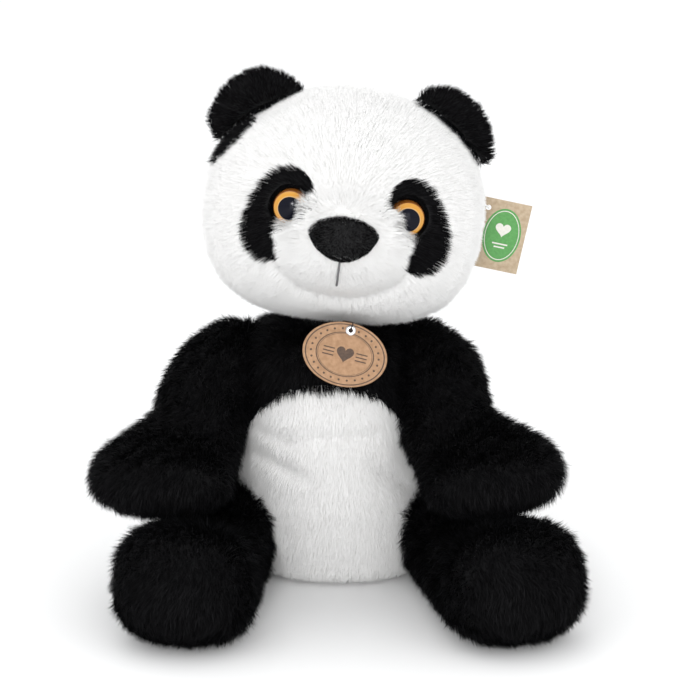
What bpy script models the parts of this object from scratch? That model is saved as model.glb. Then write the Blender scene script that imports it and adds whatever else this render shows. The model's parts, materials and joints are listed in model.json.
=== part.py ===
"""Plush panda of about 30 cm, sitting with its legs forward and its paws on them.

The frame: +Z up, +Y to the panda's back, so that it faces -Y. The origin is under the
torso, on the surface that the panda sits on. Sizes are in millimetres until a mesh is
made, which turns them into metres.

Every stuffed form (head, torso, arm, leg) is a closed surface of rings. Its sewn panels
are a cloth shell on that surface, cut apart at the seams, and its filling is the same
surface moved inwards. A limb ends in a ball that turns in a round socket of the torso.
"""

import math

import bmesh
import bpy
from mathutils import Matrix, Vector

MM = 0.001

# Cloth, seams and gaps
CLOTH = 3.0
LINING_GAP = 0.6
SEAM = 0.4
SOCKET_GAP = 0.7
ARM_HOLLOW = 6.0
AROUND = 20
FAR = 400.0

# Torso: height, half width, reach of the belly, reach of the back
TORSO_RINGS = (
    (0.0, 26.0, 28.0, 24.0),
    (0.0, 50.0, 54.0, 45.0),
    (6.0, 58.0, 62.0, 53.0),
    (22.0, 62.0, 66.0, 57.0),
    (46.0, 63.0, 67.0, 58.0),
    (72.0, 61.0, 63.0, 54.0),
    (96.0, 59.0, 59.0, 49.0),
    (116.0, 56.0, 54.0, 45.0),
    (130.0, 51.0, 49.0, 41.0),
    (139.0, 42.0, 39.0, 34.0),
    (142.5, 25.0, 23.0, 22.0),
)
TORSO_LEAN = -7.0 / 110.0
TORSO_SQUARENESS = 2.3
SEAT_HEIGHT = 4.0
BELLY_TOP = 117.0
BELLY_DROP = 50.0
BELLY_DROP_MOST = 32.0
BELLY_HALF_WIDTH = 56.0
BACK_BAND = 74.0

# Neck ball, on which the head turns and nods
NECK_CENTRE = Vector((-4.0, 0.0, 147.0))
NECK_RADIUS = 21.0
NECK_OPENING = 25.0

# Head, in its own axes, then leaned to one side about its centre
HEAD_CENTRE = Vector((2.5, -10.0, 214.0))
HEAD_HALF = Vector((79.5, 62.0, 66.0))
HEAD_LEAN = math.radians(6.2)
HEAD_ROWS = 14
HEAD_AROUND = 28
CROWN_SQUARENESS = 2.05
CHEEK_SQUARENESS = 2.9
MUZZLE_CENTRE = (0.5, -11.0)
MUZZLE_HALF = (40.0, 34.0)
MUZZLE_REACH = 21.0
MUZZLE_FULLNESS = 2.6
MUZZLE_SOFTNESS = 1.7
MUZZLE_SEAM = (34.0, 22.5, 28.5)

# Eyes, nose and mouth
EYE_ACROSS = {"left": -30.0, "right": 34.5}
EYE_HEIGHT = 6.0
EYE_TOE_OUT = math.radians(9.0)
EYE_RADIUS = 10.0
EYE_SUNK = 3.5
EYE_AROUND = 18
PATCH_ACROSS = {"left": -34.5, "right": 38.0}
PATCH_LEVEL = 0.5
PATCH_HALF = (16.2, 26.5)
PATCH_LEAN = math.radians(22.0)
NOSE_LEVEL = -1.0
NOSE_HALF_WIDTH = 19.0
NOSE_ABOVE = 8.5
NOSE_BELOW = 14.0
NOSE_POINT = 1.5
NOSE_PROUD = 3.0
THREAD_RADIUS = 0.6
MOUTH_LENGTH = 16.0

# Ears
EAR_RADIUS = {"left": 28.0, "right": 25.0}
EAR_FLATTENED = 0.98
EAR_SQUARENESS = 2.15
EAR_EDGE = 0.75
EAR_THICKNESS = 13.0
EAR_ANGLE = math.radians(50.5)
EAR_REACH = 67.5
EAR_BACK = 6.0
EAR_GAP = 2.4

# Limbs: each station is centre x, y, z, half width, half height and sideways roll
SHOULDER_RADIUS = 28.0
SHOULDERS = {"left": Vector((-60.0, -4.0, 115.0)), "right": Vector((46.0, -4.0, 115.0))}
ARMS = {
    "left": (
        (-69.0, -17.0, 111.5, 26.5, 27.0, 0.0),
        (-78.0, -36.0, 101.0, 25.0, 25.5, 0.0),
        (-80.5, -52.0, 91.0, 24.5, 22.5, 0.0),
        (-90.0, -68.0, 82.0, 33.5, 18.5, 0.0),
        (-97.0, -88.0, 79.0, 38.5, 17.5, 1.0),
        (-98.5, -106.0, 78.5, 37.5, 16.0, 0.0),
    ),
    "right": (
        (54.5, -17.0, 111.5, 26.5, 27.0, 0.0),
        (59.5, -38.0, 101.0, 24.5, 25.5, 0.0),
        (61.5, -54.0, 91.5, 24.0, 22.5, -3.0),
        (73.5, -70.0, 83.5, 32.5, 18.0, -6.0),
        (83.0, -92.0, 80.5, 38.5, 17.5, -8.0),
        (85.0, -109.0, 80.0, 37.0, 16.0, -7.0),
    ),
}
ARM_TIP = 19.0
SHOULDER_AXIS = {"left": Vector((-0.75, 0.0, -0.66)), "right": Vector((-0.75, 0.0, 0.66))}
ARM_CLEARED = (0.0, math.radians(8.0), math.radians(20.0))
ARM_SQUARENESS = 2.3
LEG_SQUARENESS = 2.7
HIP_RADIUS = 28.0
HIPS = {"left": Vector((-64.0, -22.0, 29.0)), "right": Vector((59.0, -22.0, 29.0))}
LEGS = {
    "left": (
        (-68.0, -48.0, 28.0, 29.0, 27.0, 0.0),
        (-73.0, -79.0, 26.5, 30.0, 26.0, 0.0),
        (-78.0, -109.0, 27.5, 33.0, 27.0, 0.0),
        (-83.0, -137.0, 32.0, 37.5, 31.5, 0.0),
    ),
    "right": (
        (65.0, -48.0, 28.0, 29.0, 27.0, 0.0),
        (75.0, -79.0, 26.5, 30.0, 26.0, 0.0),
        (84.0, -108.0, 27.5, 34.0, 27.0, 0.0),
        (94.0, -135.0, 32.0, 38.0, 31.5, 0.0),
    ),
}
LEG_TIP = 32.0
SOLE_DEPTH = 14.0

# Tail and sewn-in label
TAIL_CENTRE = Vector((0.0, 66.0, 24.0))
TAIL_HALF = Vector((15.0, 12.0, 13.0))

# Medallion under the chin
MEDAL_CENTRE = Vector((3.0, -60.0, 138.5))
MEDAL_HALF = (24.0, 18.0)
MEDAL_CARD = 1.4
MEDAL_LEAN_BACK = math.radians(17.0)
MEDAL_ROLL = math.radians(14.0)
MEDAL_HOLE = 1.7
MEDAL_HOLE_INSET = 4.2
MEDAL_THREAD_RADIUS = 0.45
MEDAL_THREAD = (
    (0.0, -42.5, 149.0),
    (0.8, -48.0, 153.0),
    (2.2, -53.5, 156.2),
)

# Hang tag beside the head
TAG_HOLE_AT = Vector((87.5, 22.0, 206.0))
TAG_SIZE = (29.0, 42.0)
TAG_CARD = 0.8
TAG_LEAN = math.radians(12.0)
TAG_HOLE_INSET = (4.0, 6.0)
TAG_HOLE = 1.6
PIN_RADIUS = 0.6
PIN_HOLE = 1.1
PIN_ROUTE = (
    (62.0, 21.0, 216.5),
    (70.0, 20.5, 215.5),
    (77.0, 19.5, 213.5),
    (82.5, 18.5, 210.5),
    (86.0, 18.3, 207.5),
    (87.5, 20.0, 206.0),
    (87.5, 24.0, 206.0),
    (87.5, 27.0, 206.0),
)

COLOURS = {
    "white_plush": ((0.86, 0.85, 0.83), 0.9),
    "black_plush": ((0.018, 0.018, 0.022), 0.85),
    "nose_cloth": ((0.01, 0.01, 0.012), 0.7),
    "filling": ((0.9, 0.9, 0.88), 1.0),
    "eye_black": ((0.006, 0.006, 0.02), 0.1),
    "eye_amber": ((0.85, 0.33, 0.03), 0.25),
    "eye_clear": ((0.9, 0.9, 0.9), 0.03),
    "washer_plastic": ((0.85, 0.85, 0.83), 0.5),
    "mouth_thread": ((0.32, 0.32, 0.33), 0.8),
    "kraft_card": ((0.55, 0.36, 0.2), 0.85),
    "eyelet_metal": ((0.75, 0.75, 0.76), 0.25),
    "dark_thread": ((0.03, 0.02, 0.02), 0.8),
    "pin_plastic": ((0.92, 0.92, 0.92), 0.3),
    "label_cloth": ((0.9, 0.9, 0.9), 0.8),
}


def clear_scene():
    for item in list(bpy.data.objects):
        bpy.data.objects.remove(item, do_unlink=True)


def material(slot):
    found = bpy.data.materials.get(slot)
    if found:
        return found
    colour, roughness = COLOURS[slot]
    made = bpy.data.materials.new(slot)
    made.use_nodes = True
    shader = made.node_tree.nodes["Principled BSDF"]
    shader.inputs["Base Color"].default_value = (*colour, 1.0)
    shader.inputs["Roughness"].default_value = roughness
    shader.inputs["Metallic"].default_value = 1.0 if slot == "eyelet_metal" else 0.0
    return made


# ---------------------------------------------------------------- surfaces of rings


def ring_surface(rings):
    """A closed surface through the rings; a ring of one point is a pole."""
    mesh = bmesh.new()
    rows = [[mesh.verts.new(point) for point in ring] for ring in rings]
    for low, high in zip(rows, rows[1:]):
        count = max(len(low), len(high))
        for i in range(count):
            j = (i + 1) % count
            corners = [low[i % len(low)], low[j % len(low)], high[j % len(high)], high[i % len(high)]]
            mesh.faces.new(list(dict.fromkeys(corners)))
    bmesh.ops.triangulate(mesh, faces=mesh.faces)
    bmesh.ops.recalc_face_normals(mesh, faces=mesh.faces)
    mesh.normal_update()
    return mesh


def moved_inwards(surface, depth):
    """A copy of the surface with each point moved inwards by depth."""
    copy = surface.copy()
    copy.normal_update()
    for vert, new_place in [(v, v.co - v.normal * depth) for v in copy.verts]:
        vert.co = new_place
    return copy


def cloth_shell(surface, outer_depth=0.0, inner_depth=CLOTH):
    """The cloth between two depths of the surface: an outer skin and a reversed inner one."""
    shell = moved_inwards(surface, outer_depth)
    lining = moved_inwards(surface, inner_depth)
    bmesh.ops.reverse_faces(lining, faces=lining.faces)
    copies = {v: shell.verts.new(v.co) for v in lining.verts}
    for face in lining.faces:
        shell.faces.new([copies[v] for v in face.verts])
    lining.free()
    return shell


def superellipse(angle, half_x, half_y, squareness):
    power = 2.0 / squareness
    across, along = math.cos(angle), math.sin(angle)
    x = half_x * math.copysign(abs(across) ** power, across)
    y = half_y * math.copysign(abs(along) ** power, along)
    return x, y


def turns(count):
    return [2.0 * math.pi * i / count for i in range(count)]


# ---------------------------------------------------------------- objects


def make_object(name, mesh, slot, frame=None):
    """Turns a bmesh in millimetres into a named object in metres."""
    bmesh.ops.scale(mesh, vec=(MM, MM, MM), verts=mesh.verts)
    data = bpy.data.meshes.new(name)
    mesh.to_mesh(data)
    mesh.free()
    made = bpy.data.objects.new(name, data)
    bpy.context.scene.collection.objects.link(made)
    if frame is not None:
        made.parent = frame
    if slot:
        data.materials.append(material(slot))
        data.shade_smooth()
        data.set_sharp_from_angle(angle=math.radians(40.0))
    else:
        made.hide_render = True
        made.display_type = "WIRE"
    return made


def make_cutter(name, mesh, frame=None):
    bmesh.ops.recalc_face_normals(mesh, faces=mesh.faces)
    return make_object(name, mesh, None, frame)


def boolean(piece, operation, *cutters):
    for cutter in cutters:
        step = piece.modifiers.new(cutter.name, "BOOLEAN")
        step.operation = operation
        step.object = cutter
        step.solver = "EXACT"
    return piece


def keep(piece, *cutters):
    return boolean(piece, "INTERSECT", *cutters)


def cut(piece, *cutters):
    return boolean(piece, "DIFFERENCE", *cutters)


def empty_at(name, place, turn=None):
    made = bpy.data.objects.new(name, None)
    bpy.context.scene.collection.objects.link(made)
    made.matrix_world = Matrix.Translation(place * MM) @ (turn.to_4x4() if turn else Matrix())
    return made


def box_mesh(low, high):
    mesh = bmesh.new()
    bmesh.ops.create_cube(mesh, size=1.0)
    size = Vector(high) - Vector(low)
    bmesh.ops.scale(mesh, vec=size, verts=mesh.verts)
    bmesh.ops.translate(mesh, vec=(Vector(high) + Vector(low)) / 2.0, verts=mesh.verts)
    return mesh


def ball_mesh(centre, radius, half=None):
    mesh = bmesh.new()
    bmesh.ops.create_uvsphere(mesh, u_segments=AROUND, v_segments=10, radius=radius)
    if half is not None:
        bmesh.ops.scale(mesh, vec=half / radius, verts=mesh.verts)
    bmesh.ops.translate(mesh, vec=centre, verts=mesh.verts)
    return mesh


def prism_mesh(outline, near, far):
    """The outline, drawn in X and Z, pushed along Y from near to far."""
    mesh = bmesh.new()
    base = mesh.faces.new([mesh.verts.new((x, near, z)) for x, z in outline])
    pushed = bmesh.ops.extrude_face_region(mesh, geom=[base])
    moved = [v for v in pushed["geom"] if isinstance(v, bmesh.types.BMVert)]
    bmesh.ops.translate(mesh, vec=(0.0, far - near, 0.0), verts=moved)
    bmesh.ops.recalc_face_normals(mesh, faces=mesh.faces)
    return mesh


def plane_side(name, point, normal, frame=None):
    """A big block on the side of a plane that the normal points to, half a seam off it."""
    mesh = box_mesh((-FAR, -FAR, SEAM / 2.0), (FAR, FAR, 2.0 * FAR))
    turn = Vector(normal).to_track_quat("Z", "Y").to_matrix()
    bmesh.ops.rotate(mesh, matrix=turn, verts=mesh.verts)
    bmesh.ops.translate(mesh, vec=point, verts=mesh.verts)
    return make_cutter(name, mesh, frame)


# ---------------------------------------------------------------- torso


def torso_surface():
    rings = [[Vector((0.0, 0.0, 0.0))]]
    for height, half_width, belly, back in TORSO_RINGS:
        shift = TORSO_LEAN * height
        ring = []
        for angle in turns(AROUND + 4):
            reach = back if math.sin(angle) > 0.0 else belly
            x, y = superellipse(angle, half_width, reach, TORSO_SQUARENESS)
            ring.append(Vector((x + shift, y, height)))
        rings.append(ring)
    top = TORSO_RINGS[-1][0]
    rings.append([Vector((TORSO_LEAN * top, 0.0, top + 0.5))])
    return ring_surface(rings)


def belly_outline(grow):
    """The arch between the white belly and the black chest, seen from the front."""
    steps = 16
    arch = []
    for i in range(steps + 1):
        across = -1.0 + 2.0 * i / steps
        x = across * (BELLY_HALF_WIDTH + 20.0)
        drop = min(BELLY_DROP * abs(x / BELLY_HALF_WIDTH) ** 3, BELLY_DROP_MOST)
        shift = TORSO_LEAN * BELLY_TOP
        arch.append((x + shift, BELLY_TOP - drop + grow))
    return [(arch[0][0], -FAR)] + arch + [(arch[-1][0], -FAR)]


def build_torso():
    surface = torso_surface()
    sockets = []
    for side, centre in SHOULDERS.items():
        ball = ball_mesh(centre, SHOULDER_RADIUS + ARM_HOLLOW)
        sockets.append(make_cutter(f"cutter_shoulder_{side}", ball))
        for step, swing in enumerate(ARM_CLEARED):
            around = moved_inwards(arm_surface(side), -SOCKET_GAP)
            lift = Matrix.Rotation(swing, 3, SHOULDER_AXIS[side])
            bmesh.ops.rotate(around, cent=centre, matrix=lift, verts=around.verts)
            sockets.append(make_cutter(f"cutter_arm_{side}_{step}", around))
    for side, centre in HIPS.items():
        sockets.append(hip_cutter(side, centre))
        around = moved_inwards(leg_surface(side), -SOCKET_GAP)
        sockets.append(make_cutter(f"cutter_leg_{side}", around))
    neck = make_cutter("cutter_neck", ball_mesh(NECK_CENTRE, NECK_RADIUS + SOCKET_GAP))
    opening = make_cutter("cutter_neck_opening", ball_mesh(NECK_CENTRE, NECK_OPENING))

    front = plane_side("cutter_front", (0, 0, 0), (0, -1, 0))
    rear = plane_side("cutter_rear", (0, 0, 0), (0, 1, 0))
    above_seat = plane_side("cutter_above_seat", (0, 0, SEAT_HEIGHT), (0, 0, 1))
    below_seat = plane_side("cutter_below_seat", (0, 0, SEAT_HEIGHT), (0, 0, -1))
    above_band = plane_side("cutter_above_band", (0, 0, BACK_BAND), (0, 0, 1))
    below_band = plane_side("cutter_below_band", (0, 0, BACK_BAND), (0, 0, -1))
    left_half = plane_side("cutter_left_half", (0, 0, 0), (-1, 0, 0))
    right_half = plane_side("cutter_right_half", (0, 0, 0), (1, 0, 0))
    inside = make_cutter("cutter_belly", prism_mesh(belly_outline(0.0), -FAR, FAR))
    outside = make_cutter("cutter_chest", prism_mesh(belly_outline(SEAM), -FAR, FAR))

    panels = {
        "belly_panel": ("white_plush", (front, above_seat, inside), ()),
        "chest_panel": ("black_plush", (front,), (outside,)),
        "back_panel_upper": ("black_plush", (rear, above_band), ()),
        "back_panel_lower_left": ("white_plush", (rear, below_band, above_seat, left_half), ()),
        "back_panel_lower_right": ("white_plush", (rear, below_band, above_seat, right_half), ()),
        "seat_panel": ("white_plush", (below_seat,), ()),
    }
    for name, (slot, kept, removed) in panels.items():
        panel = make_object(name, cloth_shell(surface), slot)
        keep(panel, *kept)
        cut(panel, *removed, *sockets, opening)
    filling = make_object("torso_filling", moved_inwards(surface, CLOTH + LINING_GAP), "filling")
    cut(filling, *sockets, neck)
    surface.free()
    make_object("neck_filling", ball_mesh(NECK_CENTRE, NECK_RADIUS), "filling")


def hip_cutter(side, centre):
    """The round socket of a leg, carried on down so that it leaves no lip under the leg."""
    radius = HIP_RADIUS + SOCKET_GAP
    rings = [[centre + Vector((0.0, 0.0, radius))]]
    for step in range(1, 6):
        angle = math.pi / 2.0 * step / 5
        flat = radius * math.sin(angle)
        height = radius * math.cos(angle)
        rings.append([centre + Vector((flat * math.cos(a), flat * math.sin(a), height)) for a in turns(AROUND)])
    foot = -centre.z - 10.0
    rings.append([centre + Vector((radius * math.cos(a), radius * math.sin(a), foot)) for a in turns(AROUND)])
    rings.append([centre + Vector((0.0, 0.0, foot))])
    return make_cutter(f"cutter_hip_{side}", ring_surface(rings))


# ---------------------------------------------------------------- limbs


def limb_surface(root, radius, stations, tip, squareness):
    """A ball at the root, a tube through the stations and a rounded tip."""
    first = Vector(stations[0][:3])
    start = (first - root).normalized()
    rings = [[root - start * radius]]
    for angle in (math.radians(35.0), math.radians(65.0), math.radians(90.0)):
        centre = root - start * radius * math.cos(angle)
        size = radius * math.sin(angle)
        rings.append(limb_ring(centre, start, size, size, 0.0, 2.0))
    centres = [root] + [Vector(s[:3]) for s in stations]
    for i, (x, y, z, half_width, half_height, roll) in enumerate(stations):
        ahead = centres[min(i + 2, len(centres) - 1)]
        heading = (ahead - centres[i]).normalized()
        rings.append(limb_ring(Vector((x, y, z)), heading, half_width, half_height, roll, squareness))
    last = stations[-1]
    heading = (centres[-1] - centres[-2]).normalized()
    for angle in (math.radians(28.0), math.radians(52.0), math.radians(74.0)):
        centre = centres[-1] + heading * tip * math.sin(angle)
        shrink = math.cos(angle)
        rings.append(limb_ring(centre, heading, last[3] * shrink, last[4] * shrink, last[5], squareness))
    rings.append([centres[-1] + heading * tip])
    return ring_surface(rings)


def limb_ring(centre, heading, half_width, half_height, roll, squareness):
    side = heading.cross(Vector((0.0, 0.0, 1.0))).normalized()
    up = side.cross(heading)
    lean = math.radians(roll)
    across = side * math.cos(lean) + up * math.sin(lean)
    rise = up * math.cos(lean) - side * math.sin(lean)
    ring = []
    for angle in turns(AROUND):
        x, y = superellipse(angle, half_width, half_height, squareness)
        ring.append(centre + across * x + rise * y)
    return ring


def arm_surface(side):
    return limb_surface(SHOULDERS[side], SHOULDER_RADIUS, ARMS[side], ARM_TIP, ARM_SQUARENESS)


def leg_surface(side):
    return limb_surface(HIPS[side], HIP_RADIUS, LEGS[side], LEG_TIP, LEG_SQUARENESS)


def build_arm(side):
    root = SHOULDERS[side]
    surface = arm_surface(side)
    paw = Vector(ARMS[side][-1][:3])
    along = (paw - root).normalized()
    across = along.cross(Vector((0.0, 0.0, 1.0))).normalized()
    up = across.cross(along)
    over = plane_side(f"cutter_over_{side}_arm", root, up)
    under = plane_side(f"cutter_under_{side}_arm", root, -up)
    keep(make_object(f"arm_panel_outer_{side}", cloth_shell(surface), "black_plush"), over)
    keep(make_object(f"arm_panel_inner_{side}", cloth_shell(surface), "black_plush"), under)
    make_object(f"arm_filling_{side}", moved_inwards(surface, CLOTH + LINING_GAP), "filling")
    surface.free()


def build_leg(side):
    root = HIPS[side]
    surface = leg_surface(side)
    foot = Vector(LEGS[side][-1][:3])
    heading = Vector((foot.x - root.x, foot.y - root.y, 0.0)).normalized()
    sole_plane = foot + heading * SOLE_DEPTH
    over = plane_side(f"cutter_over_{side}_leg", (0, 0, root.z), (0, 0, 1))
    under = plane_side(f"cutter_under_{side}_leg", (0, 0, root.z), (0, 0, -1))
    ahead = plane_side(f"cutter_sole_{side}", sole_plane, heading)
    behind = plane_side(f"cutter_shank_{side}", sole_plane, -heading)
    top = make_object(f"leg_panel_top_{side}", cloth_shell(surface), "black_plush")
    keep(top, over, behind)
    bottom = make_object(f"leg_panel_bottom_{side}", cloth_shell(surface), "black_plush")
    keep(bottom, under, behind)
    keep(make_object(f"foot_sole_{side}", cloth_shell(surface), "black_plush"), ahead)
    make_object(f"leg_filling_{side}", moved_inwards(surface, CLOTH + LINING_GAP), "filling")
    surface.free()


# ---------------------------------------------------------------- head


def head_size(point):
    """How far out a point is, where 1 is the bare head: rounded above and full in the cheeks."""
    x, y, z = point
    rise = z / math.sqrt(x * x + y * y + z * z)
    low_down = 0.5 - 0.5 * math.tanh(rise * 4.0)
    squareness = CROWN_SQUARENESS + (CHEEK_SQUARENESS - CROWN_SQUARENESS) * low_down
    flat = (abs(x / HEAD_HALF.x) ** squareness + abs(z / HEAD_HALF.z) ** squareness) ** (2.0 / squareness)
    return math.sqrt(flat + (y / HEAD_HALF.y) ** 2)


def head_point(direction):
    """The head's surface in one direction from its centre."""
    point = Vector(direction) / head_size(direction)
    return point + muzzle_bump(point)


def muzzle_distance(x, z):
    across = (x - MUZZLE_CENTRE[0]) / MUZZLE_HALF[0]
    along = (z - MUZZLE_CENTRE[1]) / MUZZLE_HALF[1]
    return math.hypot(across, along)


def muzzle_bump(point):
    if point.y > 0.0:
        return Vector((0.0, 0.0, 0.0))
    distance = muzzle_distance(point.x, point.z)
    if distance >= 1.0:
        return Vector((0.0, 0.0, 0.0))
    rise = MUZZLE_REACH * (1.0 - distance**MUZZLE_FULLNESS) ** MUZZLE_SOFTNESS
    return Vector((0.0, -rise, 0.0))


def head_surface():
    """Rings about the front-to-back axis, so that the face has the finest rings."""
    rings = [[head_point((0.0, -1.0, 0.0))]]
    for row in range(1, HEAD_ROWS):
        angle = math.pi * (row / HEAD_ROWS) ** 1.15
        ring = []
        for turn in turns(HEAD_AROUND):
            flat = math.sin(angle)
            ring.append(head_point((flat * math.cos(turn), -math.cos(angle), flat * math.sin(turn))))
        rings.append(ring)
    rings.append([head_point((0.0, 1.0, 0.0))])
    return ring_surface(rings)


def patch_outline(side, grow):
    """The leaning oval of an eye patch, drawn on the front of the head."""
    sign = -1.0 if side == "left" else 1.0
    outline = []
    for angle in turns(20):
        x, z = superellipse(angle, PATCH_HALF[0] + grow, PATCH_HALF[1] + grow, 2.2)
        lean = PATCH_LEAN
        across = x * math.cos(lean) - z * math.sin(lean)
        along = x * math.sin(lean) + z * math.cos(lean)
        outline.append((PATCH_ACROSS[side] + sign * across, PATCH_LEVEL + along))
    return outline


def muzzle_outline(grow):
    outline = []
    for angle in turns(24):
        wide, above, below = MUZZLE_SEAM
        half_z = above if math.sin(angle) > 0.0 else below
        x, z = superellipse(angle, wide + grow, half_z + grow, 2.2)
        outline.append((MUZZLE_CENTRE[0] + x, MUZZLE_CENTRE[1] + z))
    return outline


def nose_outline(grow):
    """A wide lens with drawn-out corners, deeper below than above."""
    outline = []
    for angle in turns(24):
        across, along = math.cos(angle), math.sin(angle)
        reach = NOSE_ABOVE if along > 0.0 else NOSE_BELOW
        x = (NOSE_HALF_WIDTH + grow) * across
        outline.append((x, NOSE_LEVEL + math.copysign((reach + grow) * abs(along) ** NOSE_POINT, along)))
    return outline


def head_frame():
    return empty_at("head_frame", HEAD_CENTRE, Matrix.Rotation(HEAD_LEAN, 3, "Y"))


def front_cutter(name, outline, frame):
    return make_cutter(name, prism_mesh(outline, -FAR, -15.0), frame)


def build_head(frame):
    surface = head_surface()
    patches = {s: front_cutter(f"cutter_patch_{s}", patch_outline(s, 0.0), frame) for s in SHOULDERS}
    patch_holes = {s: front_cutter(f"cutter_face_{s}", patch_outline(s, SEAM), frame) for s in SHOULDERS}
    muzzle = front_cutter("cutter_muzzle", muzzle_outline(0.0), frame)
    muzzle_hole = front_cutter("cutter_muzzle_hole", muzzle_outline(SEAM), frame)
    nose = front_cutter("cutter_nose", nose_outline(0.0), frame)
    nose_hole = front_cutter("cutter_nose_hole", nose_outline(SEAM), frame)
    opening = bpy.data.objects["cutter_neck_opening"]
    halves = {
        "left": plane_side("cutter_head_left", (0, 0, 0), (-1, 0, 0), frame),
        "right": plane_side("cutter_head_right", (0, 0, 0), (1, 0, 0), frame),
    }
    front = plane_side("cutter_head_front", (0, EAR_BACK, 0), (0, -1, 0), frame)
    rear = plane_side("cutter_head_rear", (0, EAR_BACK, 0), (0, 1, 0), frame)

    for side, half in halves.items():
        eye_hole = make_cutter(f"cutter_eye_{side}", eye_socket(side), frame)
        face = make_object(f"face_panel_{side}", cloth_shell(surface), "white_plush", frame)
        keep(face, front, half)
        cut(face, patch_holes[side], muzzle_hole, opening, eye_hole)
        back = make_object(f"head_back_panel_{side}", cloth_shell(surface), "white_plush", frame)
        keep(back, rear, half)
        cut(back, opening)
        patch = make_object(f"eye_patch_{side}", cloth_shell(surface), "black_plush", frame)
        keep(patch, patches[side])
        cut(patch, muzzle_hole, eye_hole)
    muzzle_panel = make_object("muzzle_panel", cloth_shell(surface), "white_plush", frame)
    keep(muzzle_panel, muzzle)
    cut(muzzle_panel, nose_hole, *[bpy.data.objects[f"cutter_eye_{s}"] for s in SHOULDERS])
    nose_piece = make_object("nose", cloth_shell(surface, -NOSE_PROUD, CLOTH), "nose_cloth", frame)
    keep(nose_piece, nose)

    filling = make_object("head_filling", moved_inwards(surface, CLOTH + LINING_GAP), "filling", frame)
    cut(filling, bpy.data.objects["cutter_neck"])
    for side in SHOULDERS:
        cut(filling, make_cutter(f"cutter_washer_{side}", washer_pocket(side), frame))
    surface.free()


def build_mouth(frame):
    """One stitched line of thread, from the point of the nose down to the mouth."""
    top = NOSE_LEVEL - NOSE_BELOW - 1.0
    route = []
    for step in range(9):
        place = face_point(-0.5, top - MOUTH_LENGTH * step / 8)
        route.append(place + Vector((0.0, -THREAD_RADIUS - 0.9, 0.0)))
    tube("mouth_stitch", route, THREAD_RADIUS, "mouth_thread").parent = frame


def face_point(x, z):
    """The point on the front of the head that has this x and z."""
    low, high = 0.0, 150.0
    for _ in range(40):
        y = (low + high) / 2.0
        if head_size((x, y, z)) > 1.0:
            high = y
        else:
            low = y
    point = Vector((x, -low, z))
    return point + muzzle_bump(point)


# ---------------------------------------------------------------- eyes


def eye_frame(side):
    """Turns from an eye's own axes, with its pupil facing +Z, to the head's."""
    sign = -1.0 if side == "left" else 1.0
    place = face_point(EYE_ACROSS[side], EYE_HEIGHT)
    outwards = Matrix.Rotation(sign * EYE_TOE_OUT, 4, "Z")
    facing = Matrix.Rotation(math.pi / 2.0, 4, "X")
    return Matrix.Translation(place + Vector((0.0, EYE_SUNK, 0.0))) @ outwards @ facing


def turned(profile, around=EYE_AROUND):
    """A solid turned about Z from a profile of (radius, height), from its top to its base."""
    rings = []
    for radius, height in profile:
        if radius == 0.0:
            rings.append([Vector((0.0, 0.0, height))])
        else:
            rings.append([Vector((radius * math.cos(a), radius * math.sin(a), height)) for a in turns(around)])
    return ring_surface(rings)


def washer_ring(profile, around=EYE_AROUND):
    """A ring turned about Z from a closed profile."""
    mesh = bmesh.new()
    rows = [[mesh.verts.new((r * math.cos(a), r * math.sin(a), z)) for a in turns(around)] for r, z in profile]
    for row, following in zip(rows, rows[1:] + rows[:1]):
        for i in range(around):
            j = (i + 1) % around
            mesh.faces.new((row[i], row[j], following[j], following[i]))
    bmesh.ops.recalc_face_normals(mesh, faces=mesh.faces)
    return mesh


def placed(mesh, side):
    bmesh.ops.transform(mesh, matrix=eye_frame(side), verts=mesh.verts)
    return mesh


def eye_socket(side):
    return placed(turned(((0.0, 12.0), (EYE_RADIUS + 0.5, 12.0), (EYE_RADIUS + 0.5, -12.0), (0.0, -12.0))), side)


def washer_pocket(side):
    profile = ((0.0, 30.0), (EYE_RADIUS + 1.5, 30.0), (EYE_RADIUS + 1.5, -14.0), (0.0, -14.0))
    return placed(turned(profile), side)


def build_eye(side, frame):
    """A safety eye: a clear dome over an amber ring, a black base with its shank, and a washer."""
    dome = []
    for step in range(6):
        angle = math.radians(90.0 - 15.0 * step)
        dome.append((EYE_RADIUS * math.cos(angle) if step else 0.0, 0.2 + 6.0 * math.sin(angle)))
    dome += [(EYE_RADIUS, 0.2), (0.0, 0.2)]
    make_object(f"eye_lens_{side}", placed(turned(dome), side), "eye_clear", frame)
    pupil = 6.4
    iris = ((pupil + 0.3, -0.1), (EYE_RADIUS, -0.1), (EYE_RADIUS, -1.5), (pupil + 0.3, -1.5))
    make_object(f"eye_iris_{side}", placed(washer_ring(iris), side), "eye_amber", frame)
    shank = 2.4
    base = (
        (0.0, -0.1),
        (pupil, -0.1),
        (pupil, -1.8),
        (EYE_RADIUS, -1.8),
        (EYE_RADIUS, -3.4),
        (shank, -4.2),
        (shank, -12.5),
        (0.0, -12.5),
    )
    make_object(f"eye_base_{side}", placed(turned(base), side), "eye_black", frame)
    washer = ((shank + 0.3, -9.0), (8.5, -9.0), (8.5, -10.6), (shank + 0.3, -10.6))
    make_object(f"eye_washer_{side}", placed(washer_ring(washer), side), "washer_plastic", frame)


# ---------------------------------------------------------------- ears


def ear_frame(side):
    """The middle of an ear's straight edge, with X along that edge and Z out of the head."""
    sign = -1.0 if side == "left" else 1.0
    out = Vector((sign * math.sin(EAR_ANGLE), 0.0, math.cos(EAR_ANGLE)))
    return Matrix.Translation(out * EAR_REACH + Vector((0.0, EAR_BACK, 0.0))) @ Matrix.Rotation(
        sign * EAR_ANGLE, 4, "Y"
    )


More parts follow.
